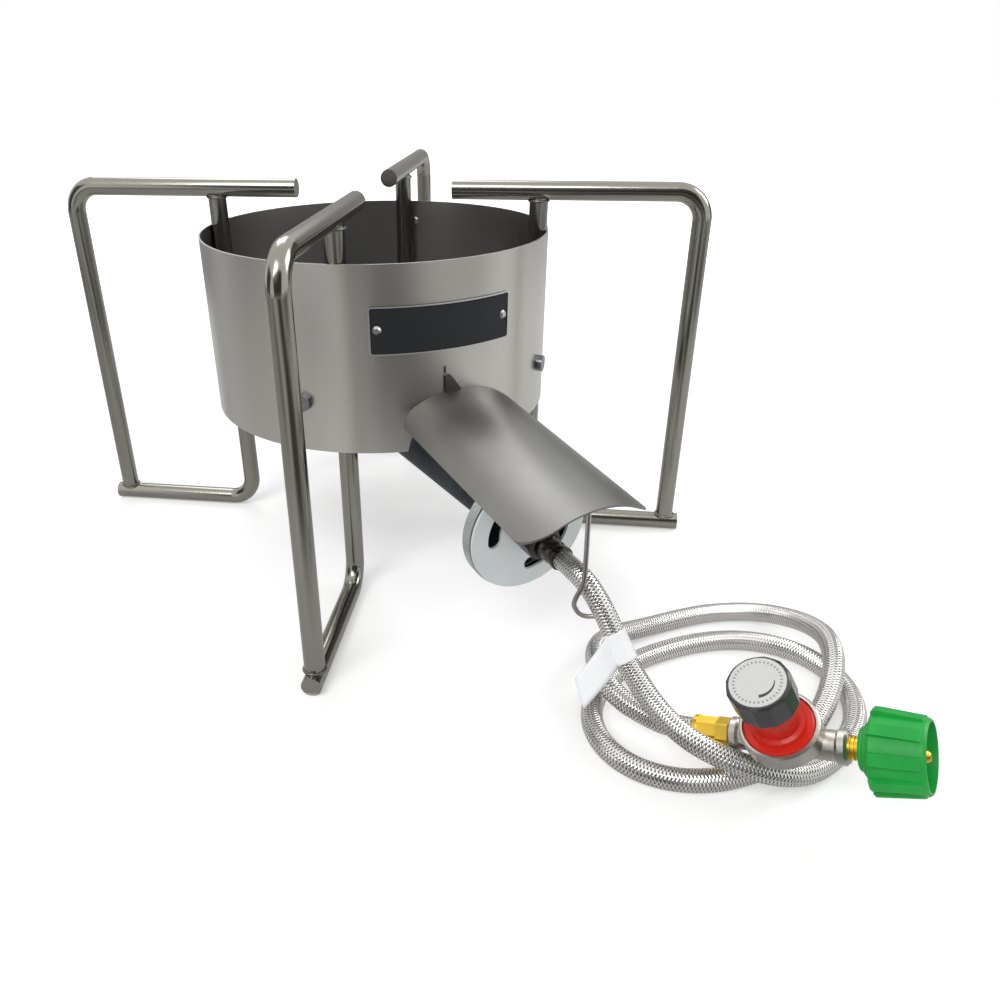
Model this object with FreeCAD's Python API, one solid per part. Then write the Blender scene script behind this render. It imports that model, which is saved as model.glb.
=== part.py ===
# Outdoor propane cooker: a welded four-leg stand round a rolled windscreen, a cast burner with an air
# shutter under a heat shield, and a braided hose to an adjustable regulator.
# Millimetres. The floor is z = 0, the windscreen's axis is Z, and the burner's neck points to -Y.
import math
import os

import FreeCAD
import Part

V = FreeCAD.Vector
X = V(1, 0, 0)
Y = V(0, 1, 0)
Z = V(0, 0, 1)

# Stand
ROD_D = 13.2
ROD_R = ROD_D / 2
LEG_ANGLES = {"front": -126.0, "right": -36.0, "back": 54.0, "left": 144.0}
ARM_Z = 264.5
ARM_TIP_R = 57.5
UPRIGHT_R = 233.0
FOOT_PAST = 4.0
FOOT_END_R = UPRIGHT_R + ROD_R + FOOT_PAST
BEND_R = 19.0
COPE = 2.0
WELD_R = 0.9
TACK_R = 2.3
TACK_H = 20.0
TACK_Z = (136.0, 182.0)

# Windscreen
SCREEN_R = 127.0
SHEET = 1.2
SCREEN_Z0 = 112.4
SCREEN_H = 125.5
SCREEN_IN = SCREEN_R - SHEET
STEM_R = SCREEN_IN - ROD_R
NOTCH_R = 36.6
NOTCH_Z = 107.4

# Nameplate, held by two rivets
PLATE_A0 = -117.0
PLATE_A1 = -71.5
PLATE_Z0 = 180.7
PLATE_H = 31.3
PLATE_T = 1.0
PLATE_GAP = 0.3
PLATE_RIM = 0.9
PLATE_CORNER = 2.4
PLATE_RIVET_Z = 197.0
PLATE_RIVET_INSET = 5.2
RIVET_R = 1.6
RIVET_HEAD_R = 2.9

# Seam rivets
SEAM_ANGLE = 50.0
SEAM_Z = (122.0, 172.0, 222.0)

# Burner brackets and their fasteners
BOLT_ANGLES = (-138.0, -48.0, 42.0, 132.0)
BOLT_Z = 147.0
BOLT_R = 3.1
BOLT_AF = 11.0
BOLT_HEAD = 4.1
NUT_H = 5.2
HOLE_GAP = 0.3
CUT_PAST = 5.0
BRACKET_T = 2.5
BRACKET_W = 18.0
BRACKET_Z = 132.0
BRACKET_H = 26.0
BRACKET_IN_R = 57.0
LUG_SCREW_R = 64.0

# Burner casting
HEAD_R = 52.0
HEAD_Z0 = 76.0
HEAD_Z1 = 130.0
WALL = 4.0
LUG_T = 7.0
CAP_T = 6.0
PORT_R = 1.6
PORT_RING_R = (20.0, 30.0, 40.0)
PORT_COUNTS = (12, 20, 28)
POST_R = 9.0
CAP_BOLT_R = 4.0

# Neck line: the shutter's front face, and its slope down outward
FACE = V(0, -217.1, 88.5)
SLOPE = math.radians(3.7)
NECK_R_OUT = 15.2
NECK_R_IN = 24.0
NECK_FRONT = -28.0
NECK_BACK = -190.0
NECK_WALL = 3.5
BELL_R = 42.0
BELL_T = 8.0
BELL_BORE_R = 36.0
HUB_R = 13.0
BRIDGE_W = 10.0
BRIDGE_ANGLE = 50.0

# Air shutter
SHUTTER_R = 41.2
SHUTTER_T = 2.0
SHUTTER_GAP = 0.6
SLOT_R = 25.5
SLOT_W = 9.0
SLOT_STARTS = (96.0, 276.0)
SLOT_SPAN = 88.0
SPUD_R = 8.0
RUN_GAP = 0.05

# Gas fittings on the neck line
JAM_AF = 22.0
JAM_Z = (0.4, 6.4)
JET_Z = -26.0
JET_R = 4.5
JET_HOLE_R = 0.8
SPUD_SHOULDER = -16.0
FLARE_AF = 22.0
FLARE_Z = (8.0, 19.0)
CRIMP_R = 7.7
CRIMP_Z = (19.0, 35.0)
GAS_BORE_R = 2.6

# Heat shield
SHIELD_R = 62.9
SHIELD_HALF = 44.2
SHIELD_LEN = 156.4
SHIELD_Z = 153.3
SHIELD_SLOPE = 7.0
SHIELD_CORNER = 17.0
SHIELD_BACK = 1.5
SHIELD_BACK_CORNER = 12.0
TAB_X = -11.0
TAB_T = 1.2
TAB_SLOT_Z = (153.4, 170.0)
TAB_TOP = 4.0
TAB_REACH = 11.5
TAB_RISE = 10.5
SLOT_GAP = 0.4

# Hose hook, from the shield's front edge down round the hose
HOOK_R = 1.4
HOOK_AT = (
    (-5.6, -280.0, 133.2), (-5.0, -280.2, 98.0), (-7.0, -282.3, 87.6), (-11.6, -282.2, 80.6),
    (-12.4, -281.5, 75.6), (-8.6, -281.1, 68.6), (-2.6, -280.5, 63.6), (5.4, -280.0, 60.8),
)

# Hose: chosen points of its centre line, from the burner's crimp to the regulator's
HOSE_R = 6.4
HOSE_LEAD = 17.0
HOSE_TAIL = 15.5
HOSE_MID = (
    (0.7, -278.8, 81.6), (2.2, -287.6, 74.4), (4.2, -295.3, 64.4), (6.3, -302.8, 53.0),
    (8.3, -312.0, 42.0), (9.4, -325.6, 33.6), (9.8, -342.0, 28.6), (13.2, -360.4, 25.8),
    (24.3, -377.9, 22.2), (41.0, -390.2, 16.6), (61.0, -395.0, 11.0), (82.2, -392.6, 7.4),
    (103.4, -387.0, 6.7), (124.0, -377.4, 6.6), (139.8, -362.0, 6.6), (148.0, -342.2, 6.6),
    (147.8, -321.1, 6.6), (138.8, -302.0, 6.6), (122.6, -287.0, 6.6), (101.1, -277.4, 6.6),
    (76.8, -272.9, 6.6), (52.3, -271.6, 6.6), (28.0, -275.6, 6.6), (6.4, -285.9, 6.6),
    (-8.9, -300.6, 6.6), (-16.6, -319.8, 6.6), (-14.6, -340.8, 6.6), (-3.2, -358.4, 6.6),
    (14.2, -370.4, 6.6), (35.4, -376.6, 6.6), (57.8, -378.0, 6.6), (80.0, -375.0, 6.6),
    (101.0, -367.4, 7.6), (121.4, -358.8, 13.0), (139.4, -346.2, 20.2), (153.6, -330.4, 22.6),
    (162.6, -312.4, 18.4), (165.2, -293.4, 12.8), (159.0, -275.4, 8.6), (143.6, -262.0, 6.8),
    (122.2, -253.4, 6.6), (99.2, -249.4, 6.6), (75.8, -247.4, 7.2), (53.6, -248.4, 11.4),
    (34.4, -255.0, 17.0), (19.6, -265.8, 21.2), (10.2, -280.0, 22.2), (6.4, -295.4, 20.4),
    (8.0, -309.3, 17.4), (13.2, -321.8, 15.8),
)
FILLET_SHARE = 0.45

# Hose tag: a paper sleeve with a flag
TAG_T = 0.45
TAG_SPAN = (-11.0, 9.0)
TAG_BEND = 5
FLAG_LEN = 38.0
FLAG_W = 18.0
FLAG_TAPER = 2.2
FLAG_SKEW = 2.6
FLAG_DIR = V(-0.886, -0.276, -0.374)

# Regulator: its pipe line runs from the outlet to the inlet, its bonnet stands across it
REG_O = V(47.8, -388.4, 36.0)
REG_PIPE = V(0.447, -0.834, 0.324)
REG_UP = V(-0.502, 0.038, 0.864)
BOSS_R = 7.8
BOSS_COLLAR_R = 9.2
BOSS_COLLAR = 6.0
BOSS_OUT = -28.5
BOSS_IN = 30.7
BODY_R = 20.0
BODY_Z = (-7.0, 6.0, 12.0)
BODY_FOOT_R = 10.0
DIA_R = 17.7
DIA_T = 1.0
BONNET_R = 17.7
BONNET_GAP = 0.4
BONNET_Z = (16.5, 44.0)
BONNET_STEP_R = 14.0
BONNET_STEP_H = 2.2
BONNET_NECK_R = 11.4
BONNET_BORE_R = 8.8
SPRING_R = 6.8
SPRING_WIRE = 0.9
SPRING_PITCH = 3.3
PLATE_DISC_R = 8.0
BUTTON_Z = (33.0, 36.0)
KNOB_R = 15.8
KNOB_Z = (38.5, 54.0)
KNOB_SIDES = 12
KNOB_BORE_R = 11.8
KNOB_TOP_T = 4.0
KNOB_STEM_R = 7.6
BUTTON_PIN_R = 3.0
LABEL_R = 13.6
LABEL_T = 0.6

# Regulator's outlet crimp and inlet coupling
OUT_HEX_AF = 15.0
OUT_HEX = (-35.0, -28.5)
OUT_CRIMP = (-48.5, -35.0)
OUT_CRIMP_R = 8.2
OUT_CRIMP_FLATS = 8
OUT_CRIMP_LIP = 3.0
NIPPLE_R = 6.1
NIPPLE_TIP_R = 3.0
NIPPLE_BORE_R = 1.4
THREAD_COUNT = 3
THREAD_PITCH = 1.8
NIPPLE_COLLAR_R = 10.0
NIPPLE_X = (18.0, 45.4, 48.6, 57.5, 65.6)
NUT_X = (35.7, 38.3, 40.9, 45.0, 66.2)
NUT_STEP_R = (11.0, 13.4)
NUT_BODY_R = (19.4, 18.2)
NUT_MOUTH_R = 16.4
NUT_RIBS = 9
NUT_RIB_W = 6.2
NUT_RIB_H = 2.2

made = {}


def unit(v):
    w = V(v)
    w.normalize()
    return w


def placed(shape, origin, xdir, zdir):
    zd = unit(zdir)
    xd = unit(xdir - zd * xdir.dot(zd))
    yd = zd.cross(xd)
    m = FreeCAD.Matrix(xd.x, yd.x, zd.x, origin.x, xd.y, yd.y, zd.y, origin.y,
                       xd.z, yd.z, zd.z, origin.z, 0, 0, 0, 1)
    out = shape.copy()
    out.Placement = FreeCAD.Placement(m).multiply(out.Placement)
    return out


def turned(shape, degrees):
    out = shape.copy()
    out.rotate(V(0, 0, 0), Z, degrees)
    return out


def cyl(r, a, b):
    return Part.makeCylinder(r, (b - a).Length, a, b - a)


def drum(r, z0, z1):
    return Part.makeCylinder(r, z1 - z0, V(0, 0, z0))


def cone(r0, r1, z0, z1):
    return Part.makeCone(r0, r1, z1 - z0, V(0, 0, z0))


def lathe(profile):
    pts = [V(r, 0, z) for r, z in profile]
    face = Part.Face(Part.makePolygon(pts + [pts[0]]))
    return face.revolve(V(0, 0, 0), Z, 360)


def prism(sides, corner_r, z0, z1, start=0.0):
    pts = []
    for i in range(sides):
        a = math.radians(start + 360.0 * i / sides)
        pts.append(V(corner_r * math.cos(a), corner_r * math.sin(a), z0))
    face = Part.Face(Part.makePolygon(pts + [pts[0]]))
    return face.extrude(V(0, 0, z1 - z0))


def hexagon(across, z0, z1):
    corner = across / math.sqrt(3)
    return prism(6, corner, z0, z1).common(drum(corner - 0.35, z0, z1))


def fused(parts):
    out = parts[0].fuse(parts[1:]) if len(parts) > 1 else parts[0]
    return out.removeSplitter()


def path_edges(pts):
    edges = []
    radii = []
    start = pts[0]
    for i in range(1, len(pts) - 1):
        a = pts[i] - pts[i - 1]
        b = pts[i + 1] - pts[i]
        half = a.getAngle(b) / 2
        reach = FILLET_SHARE * min(a.Length, b.Length)
        radius = reach / math.tan(half)
        p = pts[i] - unit(a) * reach
        q = pts[i] + unit(b) * reach
        inward = unit(unit(b) - unit(a))
        mid = pts[i] + inward * (radius / math.cos(half) - radius)
        edges.append(Part.LineSegment(start, p).toShape())
        edges.append(Part.Arc(p, mid, q).toShape())
        radii.append(radius)
        start = q
    edges.append(Part.LineSegment(start, pts[-1]).toShape())
    return edges, radii


def tube_along(edges, r):
    first = edges[0]
    at = first.valueAt(first.FirstParameter)
    along = first.tangentAt(first.FirstParameter)
    ring = Part.Wire(Part.Circle(at, along, r).toShape())
    return Part.Wire(edges).makePipeShell([ring], True, True)


def keep(name, shape):
    solids = shape.Solids
    made[name] = solids[0] if len(solids) == 1 else Part.Compound(solids)


# Stand: each leg is two bent rods, the pot arm standing on the foot bar
def bent_rod(a, b, c, centre, corner_in, corner_out):
    legs = [cyl(ROD_R, a, corner_in), cyl(ROD_R, corner_out, c)]
    ring = Part.Face(Part.Wire(Part.Circle(corner_in, corner_in - a, ROD_R).toShape()))
    turn = 1 if (corner_in - centre).cross(corner_out - centre).y > 0 else -1
    legs.append(ring.revolve(centre, Y, 90 * turn))
    return fused(legs)


arm_end = V(UPRIGHT_R - BEND_R, 0, ARM_Z)
arm = bent_rod(V(ARM_TIP_R, 0, ARM_Z), None, V(UPRIGHT_R, 0, ROD_D - COPE),
               V(UPRIGHT_R - BEND_R, 0, ARM_Z - BEND_R), arm_end, V(UPRIGHT_R, 0, ARM_Z - BEND_R))
foot = bent_rod(V(FOOT_END_R, 0, ROD_R), None, V(STEM_R, 0, ARM_Z - ROD_R + COPE),
                V(STEM_R + BEND_R, 0, ROD_R + BEND_R), V(STEM_R + BEND_R, 0, ROD_R),
                V(STEM_R, 0, ROD_R + BEND_R))
arm = arm.cut(cyl(ROD_R, V(FOOT_END_R + 5, 0, ROD_R), V(STEM_R + BEND_R, 0, ROD_R)))
foot = foot.cut(cyl(ROD_R, V(ARM_TIP_R - 5, 0, ARM_Z), V(UPRIGHT_R - BEND_R, 0, ARM_Z)))
screen_tube = drum(SCREEN_R, SCREEN_Z0, SCREEN_Z0 + SCREEN_H).cut(
    drum(SCREEN_IN, SCREEN_Z0, SCREEN_Z0 + SCREEN_H))
beads = [Part.makeTorus(ROD_R + WELD_R / 4, WELD_R, V(UPRIGHT_R, 0, ROD_D), Z),
         Part.makeTorus(ROD_R + WELD_R / 4, WELD_R, V(STEM_R, 0, ARM_Z - ROD_R), Z)]
for z in TACK_Z:
    for side in (-1, 1):
        beads.append(Part.makeCylinder(TACK_R, TACK_H, V(STEM_R + 4.4, side * 5.6, z)))
welds = []
for leg, angle in LEG_ANGLES.items():
    keep("pot_arm_" + leg, turned(arm, angle))
    keep("foot_rod_" + leg, turned(foot, angle))
    for bead in beads:
        trimmed = bead.cut(arm).cut(foot).cut(screen_tube)
        welds.append(turned(max(trimmed.Solids, key=lambda s: s.Volume), angle))
keep("weld_beads", Part.Compound(welds))

# Windscreen: a rolled sheet with the neck's notch, the shield's slot and the fastener holes
def radial(shape, angle, z):
    return placed(shape, V(0, 0, z), Z, V(math.cos(math.radians(angle)), math.sin(math.radians(angle)), 0))


screen = screen_tube.cut(cyl(NOTCH_R, V(0, -SCREEN_R - CUT_PAST, NOTCH_Z), V(0, 0, NOTCH_Z)))
slot_w = TAB_T + 2 * SLOT_GAP
slot_h = TAB_SLOT_Z[1] - TAB_SLOT_Z[0]
screen = screen.cut(Part.makeBox(slot_w, 30, slot_h, V(TAB_X - SLOT_GAP, -SCREEN_R - 10, TAB_SLOT_Z[0])))
plate_inset = math.degrees(PLATE_RIVET_INSET / SCREEN_R)
rivet_spots = [(PLATE_A0 + plate_inset, PLATE_RIVET_Z), (PLATE_A1 - plate_inset, PLATE_RIVET_Z)]
for angle, z in rivet_spots + [(SEAM_ANGLE, z) for z in SEAM_Z]:
    screen = screen.cut(radial(drum(RIVET_R, SCREEN_IN - 5, SCREEN_R + 5), angle, z))
for angle in BOLT_ANGLES:
    screen = screen.cut(radial(drum(BOLT_R + HOLE_GAP, SCREEN_IN - 5, SCREEN_R + 5), angle, BOLT_Z))
keep("windscreen", screen)

# Nameplate: a curved plate with a raised rim, its field left bare
def sector(r0, r1, a0, a1, z0, z1):
    outer = Part.makeCylinder(r1, z1 - z0, V(0, 0, z0), Z, a1 - a0)
    inner = Part.makeCylinder(r0, z1 - z0, V(0, 0, z0), Z, a1 - a0)
    return turned(outer.cut(inner), a0)


rim_a = math.degrees(PLATE_RIM / SCREEN_R)
plate_top = PLATE_Z0 + PLATE_H
plate_r = SCREEN_R + PLATE_GAP


def round_corners(plate, radius):
    corners = [e for e in plate.Edges if e.Curve.TypeId == "Part::GeomLine" and abs(e.tangentAt(0).z) < 0.5]
    return plate.makeFillet(radius, corners)


name_plate = round_corners(
    sector(plate_r, plate_r + PLATE_T, PLATE_A0, PLATE_A1, PLATE_Z0, plate_top), PLATE_CORNER)
recess = round_corners(
    sector(plate_r + PLATE_T * 0.5, plate_r + PLATE_T + 1, PLATE_A0 + rim_a, PLATE_A1 - rim_a,
           PLATE_Z0 + PLATE_RIM, plate_top - PLATE_RIM), PLATE_CORNER - PLATE_RIM)
name_plate = name_plate.cut(recess)
plate_rivets = []
seam_rivets = []
for angle, z in rivet_spots:
    name_plate = name_plate.cut(radial(drum(RIVET_R, SCREEN_R - 5, SCREEN_R + 5), angle, z))
    rivet = drum(RIVET_R, SCREEN_IN - 0.8, plate_r + PLATE_T).fuse(
        cone(RIVET_HEAD_R, RIVET_R, plate_r + PLATE_T * 0.5, plate_r + PLATE_T + 0.9))
    plate_rivets.append(radial(rivet.removeSplitter(), angle, z).cut(name_plate))
for z in SEAM_Z:
    rivet = drum(RIVET_R, SCREEN_IN - 0.4, SCREEN_R + 0.6).fuse(
        [cone(RIVET_R, RIVET_HEAD_R, SCREEN_IN - 1.3, SCREEN_IN + 0.1),
         cone(RIVET_HEAD_R, RIVET_R, SCREEN_R - 0.1, SCREEN_R + 1.0)])
    seam_rivets.append(radial(rivet.removeSplitter(), SEAM_ANGLE, z).cut(screen))
keep("nameplate", name_plate)
keep("nameplate_rivets", Part.Compound([max(r.Solids, key=lambda s: s.Volume) for r in plate_rivets]))
keep("seam_rivets", Part.Compound([max(r.Solids, key=lambda s: s.Volume) for r in seam_rivets]))

# Burner brackets: four angles bolted through the windscreen and screwed to the burner's lugs
brackets = []
bolts = []
nuts = []
lug_screws = []
bracket_top = BRACKET_Z + BRACKET_H
shell = drum(SCREEN_IN, BRACKET_Z, bracket_top).cut(drum(SCREEN_IN - BRACKET_T, BRACKET_Z, bracket_top))
stand_leg = shell.common(Part.makeBox(SCREEN_R, BRACKET_W, BRACKET_H, V(0, -BRACKET_W / 2, BRACKET_Z)))
tab_len = SCREEN_IN - BRACKET_T * 0.5 - BRACKET_IN_R
flat = Part.makeBox(tab_len, BRACKET_W, BRACKET_T, V(BRACKET_IN_R, -BRACKET_W / 2, BRACKET_Z))
bracket = fused([stand_leg, flat])
nut_z = SCREEN_IN - BRACKET_T
bracket = bracket.cut(radial(drum(BOLT_R + HOLE_GAP, nut_z - CUT_PAST, SCREEN_R), 0, BOLT_Z))
bracket = bracket.cut(Part.makeCylinder(BOLT_R + HOLE_GAP, BRACKET_T + 2 * CUT_PAST,
                                        V(LUG_SCREW_R, 0, BRACKET_Z - CUT_PAST)))
bolt_end = nut_z - NUT_H - BOLT_R
bolt_low = BOLT_Z - BOLT_AF
bolt_high = BOLT_Z + BOLT_AF
bolt = fused([radial(hexagon(BOLT_AF, SCREEN_R - 0.6, SCREEN_R + BOLT_HEAD), 0, BOLT_Z).cut(
    drum(SCREEN_R, bolt_low, bolt_high)), radial(drum(BOLT_R, bolt_end, SCREEN_R + 1), 0, BOLT_Z)])
nut = radial(hexagon(BOLT_AF, nut_z - NUT_H, nut_z + 0.6), 0, BOLT_Z).common(
    drum(nut_z, bolt_low, bolt_high))
nut = nut.cut(radial(drum(BOLT_R, nut_z - NUT_H - CUT_PAST, SCREEN_R), 0, BOLT_Z))
seat_z = BRACKET_Z + BRACKET_T
screw = fused([Part.makeCylinder(BOLT_R, BRACKET_T + LUG_T + 2, V(0, 0, BRACKET_Z - LUG_T - 2)),
               hexagon(BOLT_AF, seat_z, seat_z + BOLT_HEAD)])
screw.translate(V(LUG_SCREW_R, 0, 0))
for angle in BOLT_ANGLES:
    brackets.append(turned(bracket, angle))
    bolts.append(turned(bolt, angle))
    nuts.append(turned(nut, angle))
    lug_screws.append(turned(screw, angle))
keep("burner_brackets", Part.Compound(brackets))
keep("bracket_bolts", Part.Compound(bolts))
keep("bracket_nuts", Part.Compound(nuts))
keep("lug_screws", Part.Compound(lug_screws))

# Burner casting: head, lugs, neck and bell in one hollow piece
OUT = V(0, -math.cos(SLOPE), -math.sin(SLOPE))


def on_neck(shape):
    return placed(shape, FACE, X, OUT)


bell_face = -SHUTTER_T - SHUTTER_GAP
bell_back = bell_face - BELL_T
outside = [lathe([(0, HEAD_Z0), (30, HEAD_Z0), (HEAD_R, HEAD_Z0 + 26), (HEAD_R, HEAD_Z1), (0, HEAD_Z1)]),
           on_neck(cone(NECK_R_IN, NECK_R_OUT, NECK_BACK, NECK_FRONT)),
           on_neck(cone(NECK_R_OUT, BELL_R - 4, NECK_FRONT, bell_back)),
           on_neck(drum(BELL_R, bell_back, bell_face))]
for angle in BOLT_ANGLES:
    lug = Part.makeBox(LUG_SCREW_R + 9 - HEAD_R + 10, BRACKET_W, LUG_T, V(HEAD_R - 10, -BRACKET_W / 2,
                                                                       BRACKET_Z - LUG_T))
    outside.append(turned(lug.cut(drum(HEAD_R - WALL / 2, HEAD_Z1, HEAD_Z1 + 10)), angle))
hollow = fused([lathe([(0, HEAD_Z0 + WALL), (28, HEAD_Z0 + WALL), (HEAD_R - WALL, HEAD_Z0 + 28),
                       (HEAD_R - WALL, HEAD_Z1), (0, HEAD_Z1)]),
                on_neck(cone(NECK_R_IN - NECK_WALL, NECK_R_OUT - NECK_WALL, NECK_BACK, NECK_FRONT)),
                on_neck(cone(NECK_R_OUT - NECK_WALL, BELL_BORE_R, NECK_FRONT, bell_back)),
                on_neck(drum(BELL_BORE_R, bell_back, bell_face))])
bridge = Part.makeBox(2 * BELL_R - 4, BRIDGE_W, BELL_T, V(-BELL_R + 2, -BRIDGE_W / 2, bell_back))
bridge.rotate(V(0, 0, 0), Z, BRIDGE_ANGLE)
hub = on_neck(fused([bridge, drum(HUB_R, bell_back, bell_face)]).cut(drum(SPUD_R, -40, 20)))
post = drum(POST_R, HEAD_Z0 + WALL / 2, HEAD_Z1).cut(drum(CAP_BOLT_R, HEAD_Z1 - 20, HEAD_Z1))
casting = fused(outside).cut(hollow)
casting = fused([casting, hub, post])
for angle in BOLT_ANGLES:
    hole = Part.makeCylinder(BOLT_R, 30, V(LUG_SCREW_R, 0, BRACKET_Z - 25))
    casting = casting.cut(turned(hole, angle))
lug_clear = drum(HEAD_R + 0.6, HEAD_Z1, HEAD_Z1 + 20)
casting = casting.cut(lug_clear)
keep("burner_casting", casting)

# Burner cap with its rings of ports, and the bolt that holds it
cap = drum(HEAD_R, HEAD_Z1, HEAD_Z1 + CAP_T)
holes = []
for ring_r, count in zip(PORT_RING_R, PORT_COUNTS):
    for i in range(count):
        a = 2 * math.pi * i / count
        at = V(ring_r * math.cos(a), ring_r * math.sin(a), HEAD_Z1 - 1)
        holes.append(Part.makeCylinder(PORT_R, CAP_T + 2, at))
cap = cap.cut(holes).cut(drum(CAP_BOLT_R + HOLE_GAP, HEAD_Z1 - 1, HEAD_Z1 + CAP_T + 1))
keep("burner_cap", cap)
cap_top = HEAD_Z1 + CAP_T
keep("cap_bolt", fused([drum(CAP_BOLT_R, HEAD_Z1 - 16, cap_top + 2), hexagon(13.0, cap_top, cap_top + 5.3)]))

# Air shutter: a disc with two curved air slots, turning on the spud
shutter = drum(SHUTTER_R, -SHUTTER_T, 0)
for start in SLOT_STARTS:
    band = Part.makeCylinder(SLOT_R + SLOT_W / 2, 6, V(0, 0, -4), Z, SLOT_SPAN).cut(
        Part.makeCylinder(SLOT_R - SLOT_W / 2, 6, V(0, 0, -4), Z, SLOT_SPAN))
    ends = []
    for a in (0.0, math.radians(SLOT_SPAN)):
        ends.append(Part.makeCylinder(SLOT_W / 2, 6, V(SLOT_R * math.cos(a), SLOT_R * math.sin(a), -4)))
    shutter = shutter.cut(turned(fused([band] + ends), start))
shutter = shutter.cut(drum(SPUD_R + RUN_GAP, -10, 10))
keep("air_shutter", on_neck(shutter))

# Gas fittings along the neck line
spud = lathe([(GAS_BORE_R, SPUD_SHOULDER), (SPUD_R, SPUD_SHOULDER), (SPUD_R, FLARE_Z[0]),
              (GAS_BORE_R, FLARE_Z[0])])
keep("gas_spud", on_neck(spud))
jet = lathe([(JET_HOLE_R, JET_Z), (JET_R - 1.5, JET_Z), (JET_R, JET_Z + 2), (JET_R, SPUD_SHOULDER),
             (JET_HOLE_R, SPUD_SHOULDER)])
keep("gas_jet", on_neck(jet))
keep("shutter_nut", on_neck(hexagon(JAM_AF, *JAM_Z).cut(drum(SPUD_R, -2, 12))))
flare = hexagon(FLARE_AF, FLARE_Z[0], FLARE_Z[1] - 3).fuse(
    cone(FLARE_AF / 2, CRIMP_R + 1.6, FLARE_Z[1] - 3, FLARE_Z[1])).removeSplitter()
keep("flare_nut", on_neck(flare.cut(drum(GAS_BORE_R, 0, 40))))


def crimp(r, z0, z1, grooves):
    step = (z1 - z0) / (2 * grooves + 1)
    profile = [(0, z0), (r, z0)]
    for i in range(grooves):
        profile += [(r, z0 + step * (2 * i + 0.8)), (r - 0.7, z0 + step * (2 * i + 1.2)),
                    (r - 0.7, z0 + step * (2 * i + 1.8)), (r, z0 + step * (2 * i + 2.2))]
    profile += [(r, z1), (0, z1)]
    return lathe(profile)


keep("burner_crimp", on_neck(crimp(CRIMP_R, CRIMP_Z[0], CRIMP_Z[1], 2)))

# Heat shield: an arc of sheet with rounded corners, butted to the windscreen
sheet = cyl(SHIELD_R, V(0, 30, -SHIELD_R), V(0, -SHIELD_LEN, -SHIELD_R)).cut(
    cyl(SHIELD_R - SHEET, V(0, 31, -SHIELD_R), V(0, -SHIELD_LEN - 1, -SHIELD_R)))
half = math.radians(SHIELD_HALF)
far = 2 * SHIELD_R
side_x = far * math.sin(half)
side_z = far * math.cos(half) - SHIELD_R
wedge = Part.Face(Part.makePolygon([V(0, 31, -SHIELD_R), V(side_x, 31, side_z), V(0, 31, far),
                                    V(-side_x, 31, side_z), V(0, 31, -SHIELD_R)]))
sheet = sheet.common(wedge.extrude(V(0, -SHIELD_LEN - 60, 0)))
wide = SHIELD_R * math.sin(half)
plan = Part.makeBox(2 * wide, SHIELD_LEN + SHIELD_BACK, 200, V(-wide, -SHIELD_LEN, -100))
for corner_y, corner_r in ((-SHIELD_LEN, SHIELD_CORNER), (SHIELD_BACK, SHIELD_BACK_CORNER)):
    corners = [e for e in plan.Edges if abs(e.Length - 200) < 0.01 and abs(e.Vertexes[0].Y - corner_y) < 0.01
               and abs(e.Vertexes[1].Y - corner_y) < 0.01]
    plan = plan.makeFillet(corner_r, corners)
sheet = sheet.common(plan)
sheet.rotate(V(0, 0, 0), X, SHIELD_SLOPE)
sheet.translate(V(0, -SCREEN_R, SHIELD_Z))
shield = sheet.cut(drum(SCREEN_R, 0, 300))
keep("heat_shield", shield)

# Shield tab: a tongue standing on the shield's back edge, its end hooked through the windscreen's slot
tab_y = -math.sqrt(SCREEN_R ** 2 - TAB_X ** 2)
tab_back = -SCREEN_R - PLATE_GAP
tab_z = TAB_SLOT_Z[0] + SLOT_GAP
hook_part = Part.makeBox(TAB_T, tab_y + 6 - tab_back + TAB_T, TAB_RISE - SLOT_GAP,
                         V(TAB_X, tab_back - TAB_T, tab_z))
tongue = Part.Face(Part.makePolygon([
    V(TAB_X, tab_back, tab_z - 8), V(TAB_X, tab_back, tab_z + TAB_RISE - SLOT_GAP),
    V(TAB_X + TAB_TOP, tab_back, tab_z + TAB_RISE - SLOT_GAP),
    V(TAB_X + TAB_REACH, tab_back, tab_z), V(TAB_X + TAB_REACH, tab_back, tab_z - 8),
    V(TAB_X, tab_back, tab_z - 8)])).extrude(V(0, -TAB_T, 0))
tab = fused([hook_part, tongue])
solid_under = cyl(SHIELD_R, V(0, 30, -SHIELD_R), V(0, -SHIELD_LEN, -SHIELD_R))
solid_under.rotate(V(0, 0, 0), X, SHIELD_SLOPE)
solid_under.translate(V(0, -SCREEN_R, SHIELD_Z))
tab = tab.cut(solid_under).cut(screen)
keep("shield_tab", max(tab.Solids, key=lambda s: s.Volume))

# Hose hook: a bent wire welded under the shield's front edge
hook_edges, hook_radii = path_edges([V(*p) for p in HOOK_AT])
hook = tube_along(hook_edges, HOOK_R).cut(shield)
keep("hose_hook", max(hook.Solids, key=lambda s: s.Volume))

# Regulator
PIPE = unit(REG_PIPE)
UP = unit(REG_UP - PIPE * REG_UP.dot(PIPE))


def on_reg(shape):
    return placed(shape, REG_O, PIPE, UP)


def on_pipe(shape):
    return placed(shape, REG_O, UP, PIPE)


def boss_collar(x0):
    x1 = x0 + BOSS_COLLAR
    ring = lathe([(0, x0), (BOSS_COLLAR_R - 1.5, x0), (BOSS_COLLAR_R, x0 + 1.5), (BOSS_COLLAR_R, x1 - 1.5),
                  (BOSS_COLLAR_R - 1.5, x1), (0, x1)])
    ring.rotate(V(0, 0, 0), Y, 90)
    return ring


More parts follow.
